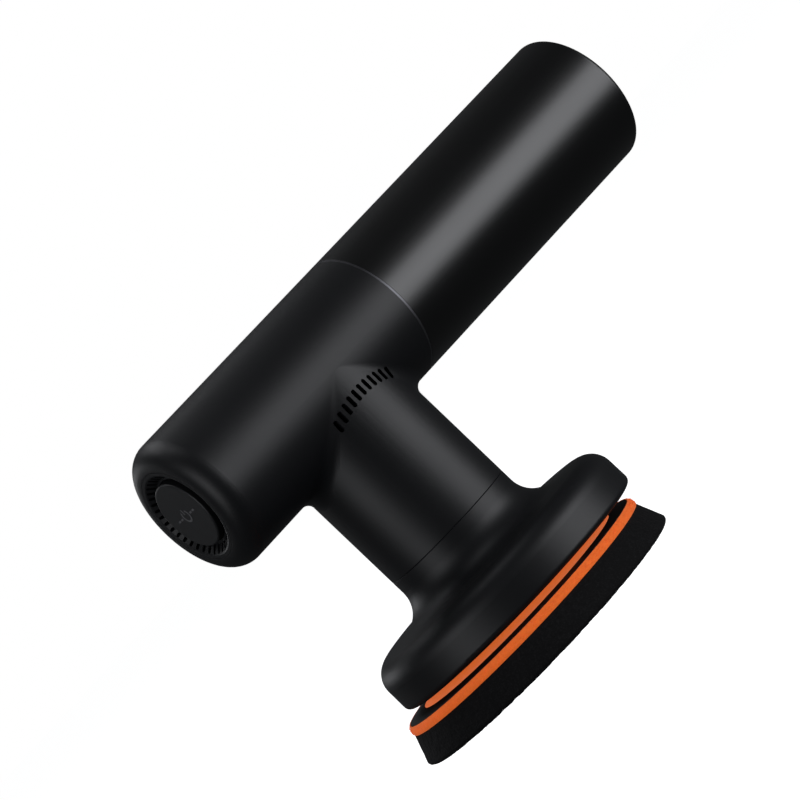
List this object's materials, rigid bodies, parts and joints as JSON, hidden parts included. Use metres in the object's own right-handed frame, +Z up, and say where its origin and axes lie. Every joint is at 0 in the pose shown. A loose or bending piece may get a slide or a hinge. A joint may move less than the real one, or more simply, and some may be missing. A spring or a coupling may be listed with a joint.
{
  "type": "massage gun",
  "caption": "Cordless orbital massager: T-shaped body with a round grip, a flared bell, and an eccentric foam disc held by hook and loop.",
  "frame": {"origin": "on the neck's axis at the foam pad's bottom face", "axes": "+Z up along the neck towards the barrel, +X along the barrel towards the handle's end"},
  "size_m": [0.2117, 0.1089, 0.1366],
  "materials": {
    "matte_shell": "soft-touch charcoal moulding",
    "button_face": "fine satin charcoal moulding",
    "gloss_grip": "polished black moulding",
    "cap_plastic": "satin black moulding",
    "trim": "brushed light ring",
    "plate_black": "glass-filled black moulding",
    "cover_orange": "matt orange disc",
    "loop_orange": "brushed loop fabric on a felted edge",
    "hook_black": "hook tape",
    "foam_black": "open-cell polyurethane foam",
    "inner_plastic": "plain moulded",
    "plunger": "plain moulded",
    "light_guide": "clear moulded light guide",
    "board_green": "solder mask",
    "chip_black": "moulded packages",
    "cell_wrap": "shrink-wrapped metal can",
    "lead_sleeve": "silicone insulation",
    "cast_alloy": "machined",
    "steel": "turned or pressed",
    "bearing_steel": "ground and polished",
    "screw_steel": "black-oxide screws",
    "copper": "enamelled copper winding"
  },
  "bodies": {
    "housing": {"housing": "matte_shell", "vent_ring": "matte_shell", "vent_ring_screws": "screw_steel", "switch_board": "board_green", "tact_switch": "inner_plastic", "trim_ring": "trim", "handle_sleeve": "gloss_grip", "handle_cap": "cap_plastic", "cap_screws": "screw_steel", "charge_light": "light_guide", "usb_socket": "screw_steel", "charge_board": "board_green", "cell_1": "cell_wrap", "cell_2": "cell_wrap", "cell_3": "cell_wrap", "cell_holder_front": "inner_plastic", "cell_holder_rear": "inner_plastic", "cell_strips": "steel", "battery_board": "board_green", "battery_leads": "lead_sleeve", "control_board": "board_green", "board_parts": "chip_black", "motor_leads": "lead_sleeve", "motor_mount": "cast_alloy", "mount_screws": "screw_steel", "motor_can": "steel", "motor_lid": "cast_alloy", "motor_screws": "screw_steel", "stator_core": "steel", "stator_coils": "copper", "lower_bearing_outer": "bearing_steel", "lower_bearing_balls": "bearing_steel", "upper_bearing_outer": "bearing_steel", "upper_bearing_balls": "bearing_steel", "bell": "matte_shell", "bell_screws": "screw_steel"},
    "drive": {"shaft": "steel", "rotor_core": "steel", "rotor_magnets": "steel", "fan": "inner_plastic", "lower_bearing_inner": "bearing_steel", "upper_bearing_inner": "bearing_steel", "eccentric_hub": "cast_alloy", "hub_screws": "screw_steel", "counterweight": "steel", "counterweight_screws": "screw_steel", "eccentric_bearing_outer": "bearing_steel", "eccentric_bearing_balls": "bearing_steel"},
    "plate": {"backing_plate": "plate_black", "plate_cover": "cover_orange", "hook_layer": "hook_black", "plate_spindle": "steel", "plate_screws": "screw_steel", "spindle_screw": "screw_steel", "eccentric_bearing_inner": "bearing_steel"},
    "pad": {"foam_pad": "foam_black", "loop_layer": "loop_orange"},
    "button": {"power_button": "button_face", "switch_plunger": "plunger"}
  },
  "joints": [
    {"name": "drive_spin", "type": "hinge", "parent": "housing", "child": "drive", "pos_m": [0, 0, 0.06], "axis": [0, 0, 1], "continuous": true},
    {"name": "plate_spin", "type": "hinge", "parent": "drive", "child": "plate", "pos_m": [-0.00366, 0.00203, 0.0143], "axis": [0, 0, 1], "continuous": true},
    {"name": "pad_release", "type": "slide", "parent": "plate", "child": "pad", "axis": [0, 0, -1], "range_m": [0, 0.03]},
    {"name": "power_press", "type": "slide", "parent": "housing", "child": "button", "axis": [1, 0, 0], "range_m": [0, 0.001], "stiffness_N_per_m": 1500, "springref_m": -0.0005}
  ]
}
